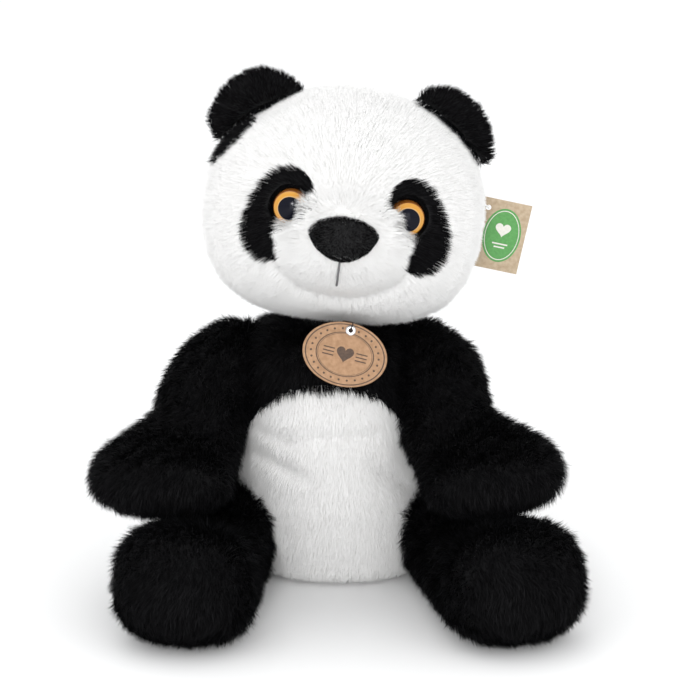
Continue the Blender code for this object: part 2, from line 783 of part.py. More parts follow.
def ear_half(facing, radius):
    """Half an ear: a half-round pad, flat on its inside and bulging on the other."""
    count = 18
    low = radius * EAR_FLATTENED
    rings = []
    for level in (1.0, 0.92, 0.72, 0.42):
        depth = math.sqrt(1.0 - level * level) if level < 1.0 else 0.0
        ring = []
        for angle in turns(count):
            x, z = superellipse(angle, radius * level, low * level, EAR_SQUARENESS)
            ring.append(Vector((x, facing * (EAR_EDGE + EAR_THICKNESS * 0.46 * depth), z)))
        rings.append(ring)
    rings.append([Vector((0.0, facing * (EAR_EDGE + EAR_THICKNESS * 0.5), 0.0))])
    flat = [Vector((p.x, facing * SEAM / 2.0, p.z)) for p in rings[0]]
    rings.insert(0, flat)
    rings.insert(0, [Vector((0.0, facing * 0.25, 0.0))])
    return ring_surface(rings)


def build_ears(frame):
    surface = head_surface()
    hull = make_cutter("cutter_ear_base", moved_inwards(surface, -EAR_GAP), frame)
    surface.free()
    for side in SHOULDERS:
        for name, facing in (("front", -1.0), ("back", 1.0)):
            mesh = ear_half(facing, EAR_RADIUS[side])
            bmesh.ops.transform(mesh, matrix=ear_frame(side), verts=mesh.verts)
            cut(make_object(f"ear_{name}_panel_{side}", mesh, "black_plush", frame), hull)


# ---------------------------------------------------------------- tail, medallion and tag


def build_tail():
    tail = make_object("tail", ball_mesh(TAIL_CENTRE, 10.0, TAIL_HALF), "white_plush")
    surface = torso_surface()
    cut(tail, make_cutter("cutter_tail", moved_inwards(surface, -0.5)))
    surface.free()
    label = box_mesh((30.0, 57.5, 8.0), (31.0, 72.0, 26.0))
    cut(make_object("care_label", label, "label_cloth"), bpy.data.objects["cutter_tail"])


def build_medallion():
    turn = Matrix.Rotation(-MEDAL_LEAN_BACK, 4, "X") @ Matrix.Rotation(MEDAL_ROLL, 4, "Y")
    place = Matrix.Translation(MEDAL_CENTRE) @ turn
    outline = [superellipse(a, MEDAL_HALF[0], MEDAL_HALF[1], 2.0) for a in turns(36)]
    card = prism_mesh(outline, -MEDAL_CARD / 2.0, MEDAL_CARD / 2.0)
    hole_at = MEDAL_HALF[1] - MEDAL_HOLE_INSET
    bmesh.ops.transform(card, matrix=place, verts=card.verts)
    hole = prism_mesh([(MEDAL_HOLE * math.cos(a), hole_at + MEDAL_HOLE * math.sin(a)) for a in turns(12)], -5.0, 5.0)
    bmesh.ops.transform(hole, matrix=place, verts=hole.verts)
    cut(make_object("medallion_card", card, "kraft_card"), make_cutter("cutter_medal_hole", hole))

    outer, inner = MEDAL_HOLE + 1.1, MEDAL_HOLE - 0.65
    half = MEDAL_CARD / 2.0
    shaft = MEDAL_HOLE - 0.25
    profile = (
        (inner, -half - 0.9),
        (outer, -half - 0.9),
        (outer, -half - 0.3),
        (shaft, -half - 0.3),
        (shaft, half + 0.3),
        (outer, half + 0.3),
        (outer, half + 0.9),
        (inner, half + 0.9),
    )
    eyelet = washer_ring(profile, 14)
    upright = Matrix.Rotation(math.pi / 2.0, 4, "X")
    bmesh.ops.transform(eyelet, matrix=place @ Matrix.Translation((0, 0, hole_at)) @ upright, verts=eyelet.verts)
    make_object("medallion_eyelet", eyelet, "eyelet_metal")
    build_medal_thread(place, hole_at)


def build_medal_thread(place, hole_at):
    """The thread comes down from the neck, over the card's front and through its eyelet to a knot."""
    in_front = place @ Vector((0.0, -MEDAL_CARD / 2.0 - 2.2, hole_at + 1.2))
    at_hole = place @ Vector((0.0, -MEDAL_CARD / 2.0 - 1.6, hole_at + 0.1))
    through = place @ Vector((0.0, MEDAL_CARD / 2.0 + 2.2, hole_at))
    over = place @ Vector((0.3, -MEDAL_CARD / 2.0 - 2.0, hole_at + 4.5))
    route = [Vector(point) for point in MEDAL_THREAD] + [over, in_front, at_hole, through]
    tube("medallion_thread", route, MEDAL_THREAD_RADIUS, "dark_thread")


def tube(name, route, radius, slot):
    """A thin round tube along a route, with flat ends."""
    curve = bpy.data.curves.new(name, "CURVE")
    curve.dimensions = "3D"
    curve.bevel_depth = radius * MM
    curve.bevel_resolution = 1
    curve.use_fill_caps = True
    spline = curve.splines.new("POLY")
    spline.points.add(len(route) - 1)
    for target, place in zip(spline.points, route):
        target.co = (*(place * MM), 1.0)
    made = bpy.data.objects.new(name, curve)
    bpy.context.scene.collection.objects.link(made)
    curve.materials.append(material(slot))
    return made


def build_hang_tag():
    place = Matrix.Translation(TAG_HOLE_AT) @ Matrix.Rotation(TAG_LEAN, 4, "Y")
    left, top = -TAG_HOLE_INSET[0], TAG_HOLE_INSET[1]
    right, bottom = left + TAG_SIZE[0], top - TAG_SIZE[1]
    corners = [(left, bottom), (left, top), (right, top), (right, bottom)]
    card = prism_mesh(corners, -TAG_CARD / 2.0, TAG_CARD / 2.0)
    bmesh.ops.transform(card, matrix=place, verts=card.verts)
    hole = prism_mesh([(TAG_HOLE * math.cos(a), TAG_HOLE * math.sin(a)) for a in turns(12)], -5.0, 5.0)
    bmesh.ops.transform(hole, matrix=place, verts=hole.verts)
    cut(make_object("hang_tag_card", card, "kraft_card"), make_cutter("cutter_tag_hole", hole))
    tube("tag_pin", [Vector(point) for point in PIN_ROUTE], PIN_RADIUS, "pin_plastic")

    way_in = Vector(PIN_ROUTE[1]) - Vector(PIN_ROUTE[0])
    needle_hole = bmesh.new()
    bmesh.ops.create_cone(
        needle_hole, cap_ends=True, segments=10, radius1=PIN_HOLE, radius2=PIN_HOLE, depth=2.0 * way_in.length
    )
    bmesh.ops.rotate(needle_hole, matrix=way_in.to_track_quat("Z", "Y").to_matrix(), verts=needle_hole.verts)
    bmesh.ops.translate(needle_hole, vec=Vector(PIN_ROUTE[0]) + way_in / 2.0, verts=needle_hole.verts)
    pierced = make_cutter("cutter_needle_hole", needle_hole)
    for name in ("head_back_panel_right", "face_panel_right", "head_filling"):
        cut(bpy.data.objects[name], pierced)


def build():
    clear_scene()
    build_torso()
    for side in SHOULDERS:
        build_arm(side)
        build_leg(side)
    frame = head_frame()
    build_head(frame)
    build_mouth(frame)
    for side in SHOULDERS:
        build_eye(side, frame)
    build_ears(frame)
    build_tail()
    build_medallion()
    build_hang_tag()


build()
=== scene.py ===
"""Plush panda: sewn skins under a real pile, safety eyes, a card medallion and a hang tag.

Each stuffed part gets a closed skin over its CAD nodes. The pile on the skin is made of
strands, and each sewn panel has its own, so the white and the black cloth stay apart.
"""

import json
import math

import bmesh
import bpy
import numpy as np
from mathutils import Matrix, Vector
from mathutils.bvhtree import BVHTree


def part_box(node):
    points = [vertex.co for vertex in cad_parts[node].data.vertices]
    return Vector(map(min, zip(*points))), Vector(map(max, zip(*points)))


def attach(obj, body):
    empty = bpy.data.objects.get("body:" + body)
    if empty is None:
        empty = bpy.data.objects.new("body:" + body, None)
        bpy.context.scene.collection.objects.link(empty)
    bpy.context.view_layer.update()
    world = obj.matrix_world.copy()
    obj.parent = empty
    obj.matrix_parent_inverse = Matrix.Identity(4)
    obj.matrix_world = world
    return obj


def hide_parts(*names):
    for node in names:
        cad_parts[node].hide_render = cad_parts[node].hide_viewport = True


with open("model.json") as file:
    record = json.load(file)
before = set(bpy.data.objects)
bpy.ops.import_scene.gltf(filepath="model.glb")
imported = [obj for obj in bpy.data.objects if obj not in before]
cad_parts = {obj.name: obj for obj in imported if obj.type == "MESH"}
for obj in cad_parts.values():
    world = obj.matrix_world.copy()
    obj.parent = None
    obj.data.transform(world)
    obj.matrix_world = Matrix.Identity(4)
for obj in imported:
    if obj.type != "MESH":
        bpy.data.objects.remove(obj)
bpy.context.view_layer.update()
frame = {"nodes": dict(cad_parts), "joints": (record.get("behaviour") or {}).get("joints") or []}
NODES = frame["nodes"]
MM = 0.001
SIDES = ("left", "right")
FLOOR = 0.3 * MM

# Joint centres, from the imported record
CENTRE = {joint["name"]: Vector(joint["pos_m"]) for joint in frame["joints"]}
SHOULDER = {side: CENTRE[f"shoulder_{side}"] for side in SIDES}
HIP = {side: CENTRE[f"hip_{side}"] for side in SIDES}
NECK = CENTRE["neck_turn"]

# The head's own axes
HEAD_CENTRE = Vector((2.5, -10.0, 214.0)) * MM
HEAD_LEAN = math.radians(6.2)
HEAD_TURN = Matrix.Rotation(HEAD_LEAN, 3, "Y")

# Cloth and pile
SKIN_DEPTH = 2.0 * MM
BODY_VOXEL = 3.0 * MM
BODY_ROUNDS = 6
STRAND_WIDTH = 0.37 * MM
FINE_STRAND = 0.24 * MM
ROOT_DEPTH = 0.4 * MM
STRAND_BEND = (-0.28, 0.22)
SHORTEST = 0.78
LENGTH_SPREAD = 0.34
DROOP = 0.12
TUFT_WAVE = 7.5 * MM
SWAY_WAVE = 26.0 * MM
SHADE_SHARES = (0.3, 0.45, 0.25)
WHITE_SHEEN = (1.0, 1.0, 1.0)

# Strands to the square millimetre, and the seed of each part's random draws
DENSITY = {"torso": 2.7, "neck": 1.0, "arm": 2.35, "leg": 2.1, "tail": 3.6}
DENSITY |= {"head": 4.0, "ear": 3.6, "nose": 7.0}
SEED = {"torso": 21, "limbs": 31, "head": 41, "nose": 51, "ears": 61, "tail": 71, "neck": 72}


def middle(node):
    """The middle of a CAD node's box."""
    low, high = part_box(node)
    return (Vector(low) + Vector(high)) / 2.0


# ---------------------------------------------------------------- materials


def cloth_shade(name, colour, roughness, sheen, sheen_tint, specular=0.3):
    """A plain shade of a strand or thread: every value sits on the shader's own socket."""
    made = bpy.data.materials.new(name)
    made.use_nodes = True
    shader = made.node_tree.nodes["Principled BSDF"]
    shader.inputs["Base Color"].default_value = (*colour, 1.0)
    shader.inputs["Roughness"].default_value = roughness
    shader.inputs["Sheen Weight"].default_value = sheen
    shader.inputs["Sheen Roughness"].default_value = 0.45
    shader.inputs["Sheen Tint"].default_value = (*sheen_tint, 1.0)
    shader.inputs["Specular IOR Level"].default_value = specular
    return made


def mottled(name, dark, light, scale, roughness, bump, metallic=0.0, stretch=(1.0, 1.0, 1.0)):
    """A finish whose colour and relief vary with noise on the piece's own coordinates."""
    made = bpy.data.materials.new(name)
    made.use_nodes = True
    nodes, links = made.node_tree.nodes, made.node_tree.links
    shader = nodes["Principled BSDF"]
    place = nodes.new("ShaderNodeTexCoord")
    mapping = nodes.new("ShaderNodeMapping")
    mapping.inputs["Scale"].default_value = stretch
    noise = nodes.new("ShaderNodeTexNoise")
    noise.inputs["Scale"].default_value = scale
    noise.inputs["Detail"].default_value = 4.0
    ramp = nodes.new("ShaderNodeValToRGB")
    ramp.color_ramp.elements[0].position = 0.32
    ramp.color_ramp.elements[0].color = (*dark, 1.0)
    ramp.color_ramp.elements[1].position = 0.68
    ramp.color_ramp.elements[1].color = (*light, 1.0)
    relief = nodes.new("ShaderNodeBump")
    relief.inputs["Strength"].default_value = bump
    relief.inputs["Distance"].default_value = 0.2 * MM
    links.new(place.outputs["Object"], mapping.inputs["Vector"])
    links.new(mapping.outputs["Vector"], noise.inputs["Vector"])
    links.new(noise.outputs["Fac"], ramp.inputs["Fac"])
    links.new(ramp.outputs["Color"], shader.inputs["Base Color"])
    links.new(noise.outputs["Fac"], relief.inputs["Height"])
    links.new(relief.outputs["Normal"], shader.inputs["Normal"])
    shader.inputs["Roughness"].default_value = roughness
    shader.inputs["Metallic"].default_value = metallic
    return made


WHITE_SHADES = [
    cloth_shade("white_pile_bright", (0.97, 0.967, 0.96), 0.9, 0.25, WHITE_SHEEN, 0.15),
    cloth_shade("white_pile", (0.955, 0.952, 0.943), 0.9, 0.25, WHITE_SHEEN, 0.15),
    cloth_shade("white_pile_soft", (0.94, 0.935, 0.925), 0.9, 0.25, WHITE_SHEEN, 0.15),
]
BLACK_SHADES = [
    cloth_shade("black_pile_deep", (0.0012, 0.0011, 0.0014), 0.75, 0.01, (0.55, 0.56, 0.64), 0.05),
    cloth_shade("black_pile", (0.0022, 0.0021, 0.0026), 0.7, 0.02, (0.6, 0.61, 0.68), 0.07),
    cloth_shade("black_pile_light", (0.006, 0.0058, 0.0068), 0.65, 0.035, (0.65, 0.66, 0.72), 0.11),
]
NOSE_SHADES = [
    cloth_shade("nose_pile_deep", (0.001, 0.001, 0.0011), 1.0, 0.0, (0.6, 0.6, 0.7), 0.0),
    cloth_shade("nose_pile", (0.0018, 0.0018, 0.002), 1.0, 0.0, (0.7, 0.7, 0.8), 0.01),
    cloth_shade("nose_pile_light", (0.0045, 0.0045, 0.0048), 0.9, 0.0, (0.7, 0.7, 0.8), 0.03),
]
SHADES = {"white": WHITE_SHADES, "black": BLACK_SHADES}
WHITE_CLOTH = mottled("white_backing", (0.88, 0.87, 0.855), (0.94, 0.935, 0.92), 260.0, 0.95, 0.3)
BLACK_CLOTH = mottled("black_backing", (0.0015, 0.0015, 0.002), (0.004, 0.004, 0.005), 260.0, 0.95, 0.3)
NOSE_CLOTH = mottled("nose_backing", (0.002, 0.002, 0.0022), (0.007, 0.007, 0.008), 900.0, 0.8, 0.5)


# ---------------------------------------------------------------- skins


def linked(name, data):
    """An object of the scene for a mesh, a light or a camera."""
    made = bpy.data.objects.new(name, data)
    bpy.context.scene.collection.objects.link(made)
    return made


def piece_from(name, mesh, *materials):
    """Turns a bmesh into a finished piece with its place in its mesh."""
    bmesh.ops.remove_doubles(mesh, verts=mesh.verts, dist=0.001 * MM)
    bmesh.ops.recalc_face_normals(mesh, faces=mesh.faces)
    data = bpy.data.meshes.new(name)
    mesh.to_mesh(data)
    mesh.free()
    for material in materials:
        data.materials.append(material)
    data.shade_smooth()
    return linked(name, data)


def joined(names):
    """One bmesh of several CAD nodes."""
    mesh = bmesh.new()
    for name in names:
        mesh.from_mesh(NODES[name].data)
    return mesh


def finished(made):
    """Applies a piece's modifiers for good."""
    ready = made.evaluated_get(bpy.context.evaluated_depsgraph_get())
    data = bpy.data.meshes.new_from_object(ready)
    made.modifiers.clear()
    made.data = data
    return made


def largest_island(mesh):
    """Removes all but the biggest connected part, such as pockets left between lining and filling."""
    left, islands = set(mesh.verts), []
    while left:
        start = left.pop()
        found, edge = {start}, [start]
        while edge:
            vert = edge.pop()
            for joint in vert.link_edges:
                other = joint.other_vert(vert)
                if other in left:
                    left.discard(other)
                    found.add(other)
                    edge.append(other)
        islands.append(found)
    keep = max(islands, key=len)
    bmesh.ops.delete(mesh, geom=[v for v in mesh.verts if v not in keep], context="VERTS")


def skin_over(name, source, voxel, rounds, depth, sculpt=None):
    """A closed cloth skin over a joined mesh: remeshed, eased, and sunk to the root of the pile."""
    data = bpy.data.meshes.new(name)
    source.to_mesh(data)
    source.free()
    made = linked(name, data)
    remesh = made.modifiers.new("remesh", "REMESH")
    remesh.mode = "VOXEL"
    remesh.voxel_size = voxel
    finished(made)
    mesh = bmesh.new()
    mesh.from_mesh(made.data)
    largest_island(mesh)
    for _ in range(rounds):
        bmesh.ops.smooth_vert(
            mesh, verts=mesh.verts, factor=0.5, use_axis_x=True, use_axis_y=True, use_axis_z=True
        )
    mesh.normal_update()
    for vert, place in [(v, v.co - v.normal * depth) for v in mesh.verts]:
        vert.co = place
    if sculpt:
        sculpt(mesh)
    for vert in mesh.verts:
        vert.co.z = max(vert.co.z, FLOOR)
    mesh.to_mesh(made.data)
    mesh.free()
    made.data.materials.clear()
    made.data.shade_smooth()
    return made


def hull_of(names):
    """One closed form over several panels, with their sockets covered."""
    mesh = joined(names)
    found = bmesh.ops.convex_hull(mesh, input=mesh.verts)
    outer = {g for g in found["geom"] if isinstance(g, bmesh.types.BMFace)}
    bmesh.ops.delete(mesh, geom=[f for f in mesh.faces if f not in outer], context="FACES")
    bmesh.ops.delete(mesh, geom=[v for v in mesh.verts if not v.link_faces], context="VERTS")
    bmesh.ops.recalc_face_normals(mesh, faces=mesh.faces)
    return mesh


# ---------------------------------------------------------------- panels under the roots


class Panels:
    """Tells which sewn panel lies nearest to a point."""

    def __init__(self, names):
        self.names = list(names)
        verts, faces, self.owner = [], [], []
        for number, name in enumerate(self.names):
            data = NODES[name].data
            start = len(verts)
            verts.extend(v.co.copy() for v in data.vertices)
            for polygon in data.polygons:
                faces.append([start + i for i in polygon.vertices])
                self.owner.append(number)
        self.tree = BVHTree.FromPolygons(verts, faces)

    def nearest(self, points):
        return np.array([self.owner[self.tree.find_nearest(p)[2]] for p in points.tolist()])


def coloured(made, panels, shades, also_dark=None):
    """Gives each face of a skin the backing of the panel that it lies under."""
    for material in (WHITE_CLOTH, BLACK_CLOTH):
        made.data.materials.append(material)
    middles = np.array([f.center for f in made.data.polygons])
    dark = np.array([shades[name] == "black" for name in panels.names])[panels.nearest(middles)]
    if also_dark:
        dark |= also_dark(middles)
    made.data.polygons.foreach_set("material_index", dark.astype(np.int32))
    return made


# ---------------------------------------------------------------- pile


def unit(vectors):
    """Rows brought to length 1."""
    return vectors / np.maximum(np.linalg.norm(vectors, axis=1, keepdims=True), 1e-9)


def scattered(made, per_mm2, rng):
    """Root points spread evenly over a skin, with the skin's smooth normals."""
    data = made.data
    data.calc_loop_triangles()
    places = np.empty(len(data.vertices) * 3)
    data.vertices.foreach_get("co", places)
    places = places.reshape(-1, 3)
    facing = np.array([v.normal for v in data.vertices])
    corners = np.empty(len(data.loop_triangles) * 3, dtype=np.int32)
    data.loop_triangles.foreach_get("vertices", corners)
    corners = corners.reshape(-1, 3)
    a, b, c = (places[corners[:, i]] for i in range(3))
    area = np.linalg.norm(np.cross(b - a, c - a), axis=1) / 2.0
    count = int(area.sum() / MM**2 * per_mm2)
    chosen = rng.choice(len(corners), size=count, p=area / area.sum())
    u, v = rng.random(count), rng.random(count)
    over = u + v > 1.0
    u[over], v[over] = 1.0 - u[over], 1.0 - v[over]
    share = np.stack([1.0 - u - v, u, v], axis=1)[:, :, None]
    roots = (places[corners[chosen]] * share).sum(axis=1)
    normals = unit((facing[corners[chosen]] * share).sum(axis=1))
    return roots, normals


def ripple(points, wavelength, seed):
    """A smooth wandering vector at each point, about 1 long."""
    rng = np.random.default_rng(seed)
    total = np.zeros_like(points)
    waves = 7
    for _ in range(waves):
        direction = unit(rng.normal(size=(1, 3)))[0]
        pace = 2.0 * math.pi / wavelength * rng.uniform(0.6, 1.5)
        phase = rng.uniform(0.0, 2.0 * math.pi)
        push = unit(rng.normal(size=(1, 3)))[0]
        total += push * np.sin(points @ direction * pace + phase)[:, None]
    return total / math.sqrt(waves / 2.0)


def strand_mesh(name, points, lit, normals, shade, shades):
    """One mesh of all strands, each a quad and a triangle whose fronts face away from the skin."""
    count = len(points)
    data = bpy.data.meshes.new(name)
    data.vertices.add(count * 5)
    data.vertices.foreach_set("co", points.reshape(-1))
    quad_and_tip = np.array([0, 1, 3, 2, 2, 3, 4])
    turned_over = np.array([0, 2, 3, 1, 2, 4, 3])
    loops = np.arange(count)[:, None] * 5 + quad_and_tip[None, :]
    ahead = np.cross(points[:, 1] - points[:, 0], points[:, 2] - points[:, 0])
    wrong = (ahead * normals).sum(axis=1) < 0.0
    loops[wrong] = np.arange(count)[wrong][:, None] * 5 + turned_over[None, :]
    data.loops.add(count * 7)
    data.loops.foreach_set("vertex_index", loops.reshape(-1).astype(np.int32))
    data.polygons.add(count * 2)
    starts = (np.arange(count)[:, None] * 7 + np.array([0, 4])[None, :]).reshape(-1)
    data.polygons.foreach_set("loop_start", starts.astype(np.int32))
    for material in shades:
        data.materials.append(material)
    data.polygons.foreach_set("material_index", np.repeat(shade, 2).astype(np.int32))
    data.update(calc_edges=True)
    data.shade_smooth()
    data.normals_split_custom_set_from_vertices(np.repeat(lit, 5, axis=0).tolist())
    return linked(name, data)


def pile(name, roots, normals, flow, length, lean, shades, rng, width=STRAND_WIDTH, wildness=1.0):
    """Bent flat strands that follow the flow, lit like the cloth they stand on.

    Each has two points at its foot, two at its knee and one at its tip. Lean is the angle
    from upright, and wildness says how far the strands stray from their neighbours.
    """
    count = len(roots)
    along = flow - normals * (flow * normals).sum(axis=1, keepdims=True)
    along = unit(along + 0.02 * rng.normal(size=roots.shape))
    loose = unit(rng.normal(size=roots.shape))
    along = unit(along + wildness * (0.34 * loose + 0.30 * ripple(roots, SWAY_WAVE, 5)))
    along = unit(along - normals * (along * normals).sum(axis=1, keepdims=True) * 0.7)
    size = length * (SHORTEST + LENGTH_SPREAD * rng.random(count))
    tilt = lean + wildness * 0.20 * rng.normal(size=count)
    first, second = (
        normals * np.cos(tilt + bend)[:, None] + along * np.sin(tilt + bend)[:, None] for bend in STRAND_BEND
    )
    second[:, 2] -= DROOP
    tuft = ripple(roots, TUFT_WAVE, 11) * (0.11 * wildness) * length[:, None]
    base = roots - normals * ROOT_DEPTH
    knee = roots + first * (size * 0.5)[:, None] + tuft * 0.35
    tip = knee + unit(second) * (size * 0.5)[:, None] + tuft
    for row in (base, knee, tip):
        row[:, 2] = np.maximum(row[:, 2], FLOOR)
    reach = np.linalg.norm(tip - base, axis=1)[:, None]
    across = unit(np.cross(tip - base, normals) + 0.55 * loose * reach)
    half = across * (width * (0.7 + 0.6 * rng.random(count)) / 2.0)[:, None]
    points = np.stack([base - half, base + half, knee - half * 0.8, knee + half * 0.8, tip], axis=1)
    strand = unit(tip - base)
    lift = unit(np.cross(across, strand))
    lift *= np.sign((lift * normals).sum(axis=1, keepdims=True) + 1e-9)
    lit = unit(normals + lift * 0.30 * wildness + 0.10 * wildness * rng.normal(size=roots.shape))
    shade = rng.choice(len(shades), size=count, p=SHADE_SHARES)
    return strand_mesh(name, points, lit, normals, shade, shades)


def dressed(made, body, slot, *nodes):
    """Puts a piece on its body, in place of the CAD nodes it stands for."""
    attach(made, body)
    if nodes:
        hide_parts(*nodes)


def far_from(points, centre, distance):
    """Which points lie further than a distance from a centre."""
    return np.linalg.norm(points - np.array(centre), axis=1) > distance


# ---------------------------------------------------------------- torso

TORSO_PANELS = {
    "belly_panel": "white",
    "chest_panel": "black",
    "back_panel_upper": "black",
    "back_panel_lower_left": "white",
    "back_panel_lower_right": "white",
    "seat_panel": "white",
}
# Each fold runs from a point to a point across the front, in mm across and up, with its depth
BELLY_CREASES = (
    ((-30.0, 90.0), (26.0, 91.0), 2.6),
    ((-50.0, 80.0), (-18.0, 66.0), 4.2),
    ((-46.0, 92.0), (-24.0, 84.0), 3.0),
    ((18.0, 74.0), (42.0, 58.0), 2.6),
)
CREASE_HALF = 4.5
FRONT_OF_BELLY = -20.0 * MM
# Length, lean, width and wildness of the torso's pile
TORSO_PILE = {"white": (6.5 * MM, 1.05, 0.28 * MM, 0.5), "black": (9.5 * MM, 0.88, 0.36 * MM, 1.0)}


def creased(mesh):
    """Soft folds across the belly, where the stuffed body bends."""
    for vert in mesh.verts:
        if vert.co.y > FRONT_OF_BELLY:
            continue
        x, z = vert.co.x / MM, vert.co.z / MM
        for start, end, depth in BELLY_CREASES:
            run = Vector(end) - Vector(start)
            share = (Vector((x, z)) - Vector(start)).dot(run) / run.length_squared
            inside = min(max(share, 0.0), 1.0)
            gap = (Vector((x, z)) - Vector(start) - run * inside).length
            fade = 0.35 + 0.65 * math.sin(math.pi * inside)
            vert.co.y += depth * MM * math.exp(-((gap / CREASE_HALF) ** 2)) * fade


def build_torso():
    """The torso's skin and pile. No strands grow on the seat, or inside the joints' soft seams."""
    skin = skin_over("torso_skin", hull_of(TORSO_PANELS), BODY_VOXEL, BODY_ROUNDS, SKIN_DEPTH, creased)
    panels = Panels(TORSO_PANELS)
    coloured(skin, panels, TORSO_PANELS)
    dressed(skin, "torso", "white_plush", "torso_filling")

    rng = np.random.default_rng(SEED["torso"])
    roots, normals = scattered(skin, DENSITY["torso"], rng)
    keep = far_from(roots, NECK, 18.0 * MM) & (normals[:, 2] > -0.9)
    for side in SIDES:
        keep &= far_from(roots, SHOULDER[side], 25.0 * MM) & far_from(roots, HIP[side], 25.0 * MM)
    roots, normals = roots[keep], normals[keep]
    owner = panels.nearest(roots)
    for number, name in enumerate(panels.names):
        mine = owner == number
        if not mine.any():
            continue
        spots, facing = roots[mine], normals[mine]
        flow = np.zeros_like(spots)
        flow[:, 2] = -1.0
        flow += 0.25 * facing
        shade = TORSO_PANELS[name]
        length, lean, width, wildness = TORSO_PILE[shade]
        sizes = np.full(len(spots), length)
        made = pile(f"{name}_pile", spots, facing, flow, sizes, lean, SHADES[shade], rng, width, wildness)
        dressed(made, "torso", f"{shade}_plush", name)


# ---------------------------------------------------------------- limbs


LIMB_PILE = 9.5 * MM
LIMB_LEAN = 0.82


def build_limb(kind, side, names, root):
    """An arm or a leg: its skin, and a pile combed from the root to the paw or the sole."""
    body, filling = f"{kind}_{side}", f"{kind}_filling_{side}"
    skin = skin_over(f"{body}_skin", joined([*names, filling]), BODY_VOXEL, BODY_ROUNDS, SKIN_DEPTH)
    panels = Panels(names)
    coloured(skin, panels, dict.fromkeys(names, "black"))
    dressed(skin, body, "black_plush", filling)

    rng = np.random.default_rng(SEED["limbs"] + len(kind) * 7 + (side == "left"))
    roots, normals = scattered(skin, DENSITY[kind], rng)
    along = np.array(middle(names[-1]) if kind == "leg" else Vector(roots.mean(axis=0))) - np.array(root)
    along /= np.linalg.norm(along)
    owner = panels.nearest(roots)
    for number, name in enumerate(panels.names):
        mine = owner == number
        spots, facing = roots[mine], normals[mine]
        head_on = np.abs(facing @ along)[:, None]
        flow = np.tile(along, (len(spots), 1)) * (1.0 - head_on**2 * 0.8)
        flow[:, 2] -= 0.25 + 0.5 * head_on[:, 0] ** 3
        sizes = np.full(len(spots), LIMB_PILE)
        made = pile(f"{name}_pile", spots, facing, flow, sizes, LIMB_LEAN, BLACK_SHADES, rng)
        dressed(made, body, "black_plush", name)


# ---------------------------------------------------------------- head

HEAD_PANELS = {
    "face_panel_left": "white",
    "face_panel_right": "white",
    "head_back_panel_left": "white",
    "head_back_panel_right": "white",
    "eye_patch_left": "black",
    "eye_patch_right": "black",
    "muzzle_panel": "white",
}
EYE_CENTRE = {side: middle(f"eye_iris_{side}") for side in SIDES}
EYE_OUT = {side: (middle(f"eye_lens_{side}") - middle(f"eye_washer_{side}")).normalized() for side in SIDES}
EYE_RADIUS = 10.0 * MM
HEAD_VOXEL = 2.6 * MM
HEAD_ROUNDS = 7
HEAD_PILE = 7.0
HEAD_PILE_LEAN = 1.04
NOSE_HALF = (17.0 * MM, 9.0 * MM)

# The muzzle's rim in the head's own axes, across and up, and the crease just outside it
RIM_CENTRE = (0.6 * MM, -9.7 * MM)
RIM_HALF = (34.5 * MM, 27.5 * MM)
MUZZLE_EDGE = 0.97
LAST_RIM_SHARE = 0.985
CREASE_DEPTH = 3.2 * MM
CREASE_AT = 1.12
CREASE_WIDTH = 0.13

# The muzzle cloth bulges where it presses against each eye
EYE_LIP = 5.5 * MM
EYE_LIP_AT = 11.0 * MM
EYE_LIP_HALF = 5.5 * MM

# The left ear's seam on the head: a dent under it and dark pile beyond it
EAR_DENT = 4.5 * MM
EAR_DENT_REACH = 24.0 * MM
EAR_TILT = math.radians(50.5)
EAR_SEAM = 67.0 * MM
EAR_SEAM_HALF = 29.0 * MM


def under_ear(places):
    """Where the left ear's pile runs down onto the head: beyond its seam line and within its width."""
    own = in_head_axes(places)
    out = own[:, 2] * math.cos(EAR_TILT) - own[:, 0] * math.sin(EAR_TILT)
    along = own[:, 0] * math.cos(EAR_TILT) + own[:, 2] * math.sin(EAR_TILT)
    fore = (own[:, 1] > -50.0 * MM) & (own[:, 1] < 24.0 * MM)
    return (out > EAR_SEAM) & (np.abs(along + 2.0 * MM) < EAR_SEAM_HALF) & fore


def rim_share(own):
    """Distance from the muzzle's middle as a share of the way to its rim, far behind the face."""
    across = (own[:, 0] - RIM_CENTRE[0]) / RIM_HALF[0]
    level = (own[:, 2] - RIM_CENTRE[1]) / RIM_HALF[1]
    return np.where(own[:, 1] < -0.03, np.hypot(across, level), 9.0)


def about_eye(places, side):
    """Height along an eye's axis, and the offset and distance from that axis."""
    apart = places - np.array(EYE_CENTRE[side])
    out = np.array(EYE_OUT[side])
    forward = apart @ out
    radial = apart - forward[:, None] * out
    return forward, radial, np.linalg.norm(radial, axis=1)


